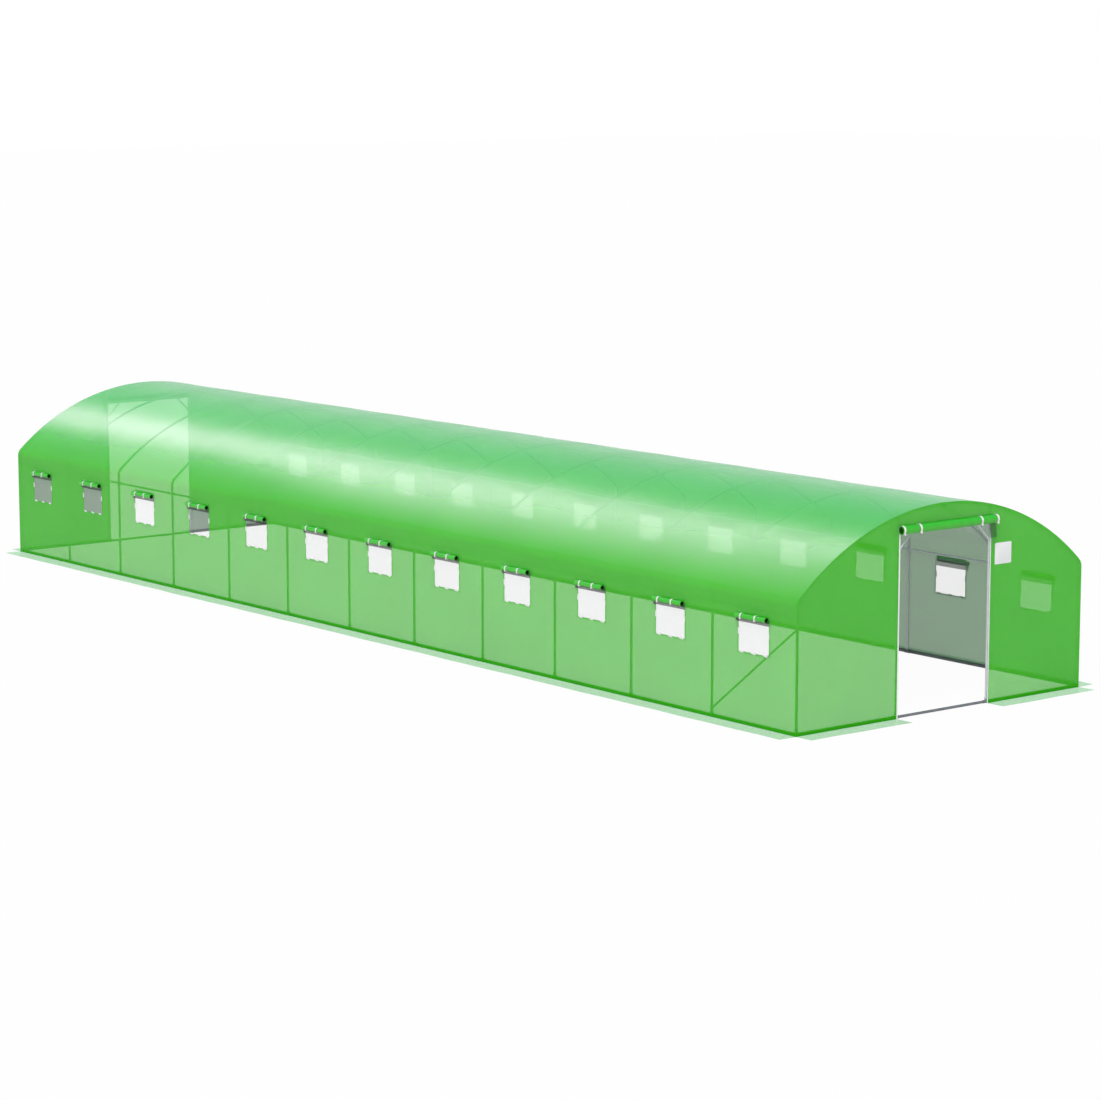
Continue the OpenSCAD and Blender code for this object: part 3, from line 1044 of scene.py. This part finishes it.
# %% Loose corners of the door flaps
CORNER_W = 0.080
CORNER_REACH = 0.140
CORNER_FROM_END = 0.003
CORNER_CAUGHT_SHARE = 0.12
CORNER_CURL = 0.012
CORNER_TWIST = 0.6
# Painted shade: the corner takes the dark of a turn deep in the roll.
CORNER_SHADE = 0.310
CORNER_STEPS = (6, 10)


def loose_corner(end):
    low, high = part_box(f"{END_NAMES[end]}_door_roll")
    middle = (low + high) / 2
    caught = (high.z - low.z) / 2 * CORNER_CAUGHT_SHARE
    length = caught + CORNER_REACH
    piece, flat = new_grid(f"{END_NAMES[end]}_flap_corner", *CORNER_STEPS)
    across = -end * (high.x - CORNER_FROM_END - flat[:, 0] * CORNER_W)
    curl = CORNER_CURL * flat[:, 1] ** 2 * (1 - CORNER_TWIST * flat[:, 0])
    up = low.z + caught - flat[:, 1] * length
    set_points(piece, rows_of(across, middle.y + end * curl, up))
    lay_metres(piece, rows_of(CORNER_SHADE, across))
    face_towards(piece, (0.0, end, 0.0))
    finish_flap(piece)
    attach(piece, "root")
    return piece


corners = [loose_corner(end) for end in ENDS]
print("loose corners:", [len(c.data.polygons) for c in corners], "faces")

# %% [markdown]
# A tie is a band of white webbing round the roll with a short free tail. The band starts as an open
# cylinder and gets its thickness from Solidify. The tail is a small grid that hangs from the band's front.

# %% Ties
TIE_W, DOOR_TIE_W = 0.022, 0.026
TIE_SEAT = 1 - TIE_SQUEEZE + 0.01
TIE_STEPS_ROUND = 40
TIE_BEVEL = 0.0005
TAIL_STEPS = (2, 6)
TAIL_W_SHARE = 0.8
TAIL_OUT_SHARE = 0.80
TAIL_TOP_SHARE = 0.6
TAIL_DROP_SHARE = 0.45
TAIL_BULGE = 0.006
TAIL_BULGE_ANGLE = 2.4


def tie_band(radius, width):
    """One tie about the Y axis at the origin, with its tail hanging on the +X side."""
    bpy.ops.object.select_all(action="DESELECT")
    size = {"vertices": TIE_STEPS_ROUND, "radius": radius, "depth": width}
    bpy.ops.mesh.primitive_cylinder_add(**size, end_fill_type="NOTHING", rotation=(math.pi / 2, 0, 0))
    band = bpy.context.object
    bpy.ops.object.transform_apply()
    apply_modifier(band, "SOLIDIFY", thickness=TIE_T, offset=1.0)
    tail, flat = new_grid("tail", *TAIL_STEPS)
    out = radius * TAIL_OUT_SHARE + TIE_T + TAIL_BULGE * np.sin(flat[:, 1] * TAIL_BULGE_ANGLE)
    along = (flat[:, 0] - 0.5) * width * TAIL_W_SHARE
    up = -radius * TAIL_TOP_SHARE - flat[:, 1] * radius * TAIL_DROP_SHARE
    set_points(tail, rows_of(out, along, up))
    face_towards(tail, (1.0, 0.0, 0.0))
    apply_modifier(tail, "SOLIDIFY", thickness=TIE_T, offset=1.0)
    whole = joined([band, tail], "tie")
    apply_modifier(whole, "BEVEL", width=TIE_BEVEL, segments=1)
    give_finish(whole, WHITE_WEBBING)
    smooth(whole)
    return whole


def ties_at(name, radius, width, spots):
    piece = copied(tie_band(radius * TIE_SEAT, width), name, spots)
    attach(piece, "root")
    return piece


def window_ties(side):
    middle, _, radius = roll_inside_ties(f"{SIDE_NAMES[side]}_window_rolls")
    along = [y + place for y in BAY_MIDDLES for place in tie_places(WINDOW_TIE_SHARES, WINDOW_W)]
    spots = [((middle.x, y, middle.z), WALL_TURNS[side]) for y in along]
    return ties_at(f"{SIDE_NAMES[side]}_window_ties", radius, TIE_W, spots)


def door_ties(end):
    middle, length, radius = roll_inside_ties(f"{END_NAMES[end]}_door_roll")
    spots = [((x, middle.y, middle.z), END_TURNS[end]) for x in tie_places(DOOR_TIE_SHARES, length)]
    return ties_at(f"{END_NAMES[end]}_door_ties", radius, DOOR_TIE_W, spots)


ties = [window_ties(side) for side in SIDES] + [door_ties(end) for end in ENDS]
print("ties:", sum(len(t.data.polygons) for t in ties), "faces")

# %% [markdown]
# White hook-and-loop tabs hold a lowered flap: three along a window's lower edge and one on each side. A
# dark, part see-through strip along the window's head, just under the roll, with a spare end past one side, is
# painted shadow of the roll.

# %% Tabs and painted roll shadows
TAB_L = 0.058
TAB_W = 0.017
TAB_T = 0.003
TAB_SHARES = (-0.40, 0.0, 0.40)
TAB_TILT = math.radians(7)
TAB_DROP = 0.004
SIDE_TAB_Z = SILL + 0.55 * (WINDOW_TOP - SILL)
# Painted shadow under the window rolls: its height, thickness, lap and spare end.
ROLL_SHADOW_H = 0.066
ROLL_SHADOW_T = FILM_T * 1.5
ROLL_SHADOW_LAP = 0.013
ROLL_SHADOW_SPARE = 0.036
STRIP_CUTS = 3
STRIP_CURL = 0.8
STRIP_BEVEL = 0.2


def new_block(name, size, place=(0.0, 0.0, 0.0)):
    """A box to start from, with its size and place applied."""
    bpy.ops.object.select_all(action="DESELECT")
    bpy.ops.mesh.primitive_cube_add(size=1.0)
    piece = bpy.context.object
    piece.name = piece.data.name = name
    piece.scale = size
    piece.location = place
    bpy.ops.object.transform_apply()
    return piece


def strip(name, length, width, thickness, finish):
    """A flat strip along Y standing in the YZ plane, with softened edges and a slight curl."""
    piece = new_block(name, (thickness, length, width))
    with edit_mode(piece):
        bpy.ops.mesh.select_all(action="SELECT")
        bpy.ops.mesh.subdivide(number_cuts=STRIP_CUTS)
    points = points_of(piece)
    points[:, 0] += thickness * STRIP_CURL * (2 * points[:, 1] / length) ** 2
    set_points(piece, points)
    apply_modifier(piece, "BEVEL", width=thickness * STRIP_BEVEL, segments=1, limit_method="ANGLE")
    give_finish(piece, finish)
    return piece


def strips_on_wall(master, name, places, side, stand_off):
    """Copies of a strip on a wall's film, each at a (y, z) and tilted in the wall's plane."""
    piece = copied(master, name, [((0.0, y, z), (tilt, 0.0, 0.0)) for y, z, tilt in places])
    follow_wall(piece, side, stand_off)
    with edit_mode(piece):
        bpy.ops.mesh.select_all(action="SELECT")
        bpy.ops.mesh.normals_make_consistent(inside=False)
    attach(piece, "root")
    return piece


def window_tabs(side):
    master = strip("tab", TAB_L, TAB_W, TAB_T, WHITE_WEBBING)
    places = []
    for y in BAY_MIDDLES:
        places += [(y + share * WINDOW_W, SILL - TAB_DROP, TAB_TILT) for share in TAB_SHARES]
        places += [(y + s * WINDOW_W / 2, SIDE_TAB_Z, math.pi / 2) for s in SIDES]
    return strips_on_wall(master, f"{SIDE_NAMES[side]}_window_tabs", places, side, TAB_T / 2)


# Painted shadow: a dark strip under each window's roll, reaching past one end.
def roll_shadow_strips(side):
    length = WINDOW_W + ROLL_SHADOW_LAP + ROLL_SHADOW_SPARE
    master = strip("roll_shadow_strip", length, ROLL_SHADOW_H, ROLL_SHADOW_T, PAINTED_ROLL_SHADOW)
    shift = side * ROLL_SHADOW_SPARE / 2
    places = [(y - shift, WINDOW_TOP - ROLL_SHADOW_H / 2, 0.0) for y in BAY_MIDDLES]
    return strips_on_wall(master, f"{SIDE_NAMES[side]}_roll_shadow_strips", places, side, 0.0)


tabs = [window_tabs(side) for side in SIDES]
shadow_strips = [roll_shadow_strips(side) for side in SIDES]
print("tabs and head tapes:", sum(len(t.data.polygons) for t in tabs + shadow_strips), "faces")

# %% [markdown]
# A zip tape is sewn to each side of the doorway. It is a narrow strip with a raised chain of teeth along its
# inner edge, so its grid has a few columns across and one row to each tooth.

# %% Zip tapes
ZIP_W = 0.015
ZIP_COLUMNS = 8
ZIP_GAP = FILM_T * 0.2
TOOTH_PITCH = 0.012
TOOTH_H = 0.003
TOOTH_GAP_SHARE = 0.45
CHAIN_SHARE = 0.45
TAPE_T = 0.0015


def zip_tape(side, end):
    rows = int(DOOR_H / TOOTH_PITCH) * 2
    piece, flat = new_grid("zip", ZIP_COLUMNS, rows)
    chain = flat[:, 0] < CHAIN_SHARE
    tooth = np.where(np.round(flat[:, 1] * rows) % 2 == 0, 1.0, TOOTH_GAP_SHARE)
    stand = ZIP_GAP + np.where(chain, TOOTH_H * tooth, 0.0)
    across = side * (DOOR_W / 2 - ZIP_W * CHAIN_SHARE + flat[:, 0] * ZIP_W)
    set_points(piece, rows_of(across, end * (HALF_L + stand), flat[:, 1] * DOOR_H))
    face_towards(piece, (0.0, end, 0.0))
    apply_modifier(piece, "SOLIDIFY", thickness=TAPE_T, offset=1.0)
    give_finish(piece, ZIP_TAPE)
    return piece


def door_zips(end):
    piece = joined([zip_tape(side, end) for side in SIDES], f"{END_NAMES[end]}_door_zips")
    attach(piece, "root")
    return piece


zips = [door_zips(end) for end in ENDS]
print("zip tapes:", sum(len(z.data.polygons) for z in zips), "faces")

# %% [markdown]
# A plain white plate hangs beside the front door. It stays bare: a thin card with rounded corners.

# %% Bare plate
PLATE_MIDDLE = (0.823, 1.529)
PLATE_SIZE = (0.238, 0.220)
PLATE_T = 0.003
PLATE_CORNER = 0.012
PLATE_CORNER_STEPS = 5
PLATE_BEVEL = PLATE_T * 0.25
SQUARE_TO_PLATE = 0.9


def bare_plate():
    size = (PLATE_SIZE[0], PLATE_T, PLATE_SIZE[1])
    piece = new_block("front_plate", size, (PLATE_MIDDLE[0], -HALF_L - PLATE_T, PLATE_MIDDLE[1]))
    with edit_mode(piece):
        bpy.ops.mesh.select_mode(type="EDGE")
        bpy.ops.mesh.select_all(action="DESELECT")
    for edge in piece.data.edges:
        start, stop = (piece.data.vertices[v].co for v in edge.vertices)
        edge.select = abs((stop - start).normalized().y) > SQUARE_TO_PLATE
    with edit_mode(piece):
        bpy.ops.mesh.bevel(offset=PLATE_CORNER, segments=PLATE_CORNER_STEPS)
    apply_modifier(piece, "BEVEL", width=PLATE_BEVEL, segments=2, limit_method="ANGLE")
    give_finish(piece, PLATE)
    smooth(piece)
    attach(piece, "root")
    return piece


plate = bare_plate()
print("plate:", len(plate.data.polygons), "faces")

# %% [markdown]
# The photograph shows the tunnel on plain white. The floor and the sky are white where the camera looks
# at them, through the film too, while the light that falls on the tunnel stays at a plain level. The sky that
# the film mirrors is a pale haze at the horizon and greener overhead.

# %% Floor and sky
SKY_STRENGTH = 0.55
MIRRORED_HAZE = (0.85, 1.00, 1.00)
MIRRORED_SKY = (0.10, 1.00, 0.68)
HAZE_RISES = (0.05, 0.62)
FLOOR_SIZE = 300.0
FLOOR_GREY = (0.8, 0.8, 0.8)
FLOOR_WHITE_SHARE = 0.96
WHITE = (1.0, 1.0, 1.0)


def white_sky():
    finish = Finish(bpy.data.worlds.new("white_sky"))
    seen, mirrored = finish.seen_rays()
    rise = finish.parts(finish.node("ShaderNodeTexCoord", output="Generated"))[2]
    overhead = finish.mix(rise.eased(*HAZE_RISES), MIRRORED_HAZE, MIRRORED_SKY)
    tint = finish.mix(mirrored, WHITE, overhead)
    level = SKY_STRENGTH + seen * (1 - SKY_STRENGTH)
    sky = finish.node("ShaderNodeBackground", {}, {"Color": tint, "Strength": level})
    finish.node("ShaderNodeOutputWorld", {}, {"Surface": sky})
    bpy.context.scene.world = finish.block


def pale_floor():
    bpy.ops.object.select_all(action="DESELECT")
    bpy.ops.mesh.primitive_plane_add(size=FLOOR_SIZE)
    floor = bpy.context.object
    floor.name = "floor"
    finish = new_finish("pale_floor")
    seen, _ = finish.seen_rays()
    matt = finish.node("ShaderNodeBsdfDiffuse", {}, {"Color": (*FLOOR_GREY, 1.0)})
    white = finish.node("ShaderNodeEmission", {}, {"Color": (*WHITE, 1.0)})
    shader = finish.node("ShaderNodeMixShader", {}, [seen * FLOOR_WHITE_SHARE, matt, white])
    finish.node("ShaderNodeOutputMaterial", {}, {"Surface": shader})
    give_finish(floor, finish.block)


white_sky()
pale_floor()
print("world:", bpy.context.scene.world.name)

# %% [markdown]
# One soft lamp lights the near side. A long strip lamp hangs over the tunnel and runs on past its far end.
# The roof's clear gloss mirrors it, and that draws the pale stripe all along the film. A weaker strip beside
# it lets the stripe fade out slowly towards the eave.

# %% Lamps
KEY_STRENGTH = 1.97
KEY_FROM = Vector((-0.50, -0.43, 0.72))
KEY_ANGLE = math.radians(30)
STRIP_TINT = (0.98, 0.65, 0.95)
STRIP_POWER = 1280.0
STRIP_SIZE = (2.8, 29.0)
STRIP_AT = (1.7, 13.1, 9.9)
SIDE_STRIP_POWER = 455.0
SIDE_STRIP_SIZE = (3.0, 12.6)
SIDE_STRIP_AT = (-1.1, 7.4, 9.9)


def new_lamp(name, kind, power):
    data = bpy.data.lights.new(name, kind)
    data.energy = power
    lamp = bpy.data.objects.new(name, data)
    bpy.context.scene.collection.objects.link(lamp)
    return lamp


def key_lamp():
    lamp = new_lamp("key_lamp", "SUN", KEY_STRENGTH)
    lamp.data.angle = KEY_ANGLE
    lamp.rotation_euler = KEY_FROM.to_track_quat("Z", "Y").to_euler()


def strip_lamp(name, place, size, power):
    """A long soft box that hangs level. It is there to be mirrored, so it adds no light of its own."""
    lamp = new_lamp(name, "AREA", power)
    lamp.data.shape = "RECTANGLE"
    lamp.data.size, lamp.data.size_y = size
    lamp.data.color = STRIP_TINT
    lamp.location = place
    lamp.visible_camera = False
    lamp.visible_diffuse = False


key_lamp()
strip_lamp("strip_lamp", STRIP_AT, STRIP_SIZE, STRIP_POWER)
strip_lamp("side_strip_lamp", SIDE_STRIP_AT, SIDE_STRIP_SIZE, SIDE_STRIP_POWER)
print("lamps:", [light.name for light in bpy.data.lights])
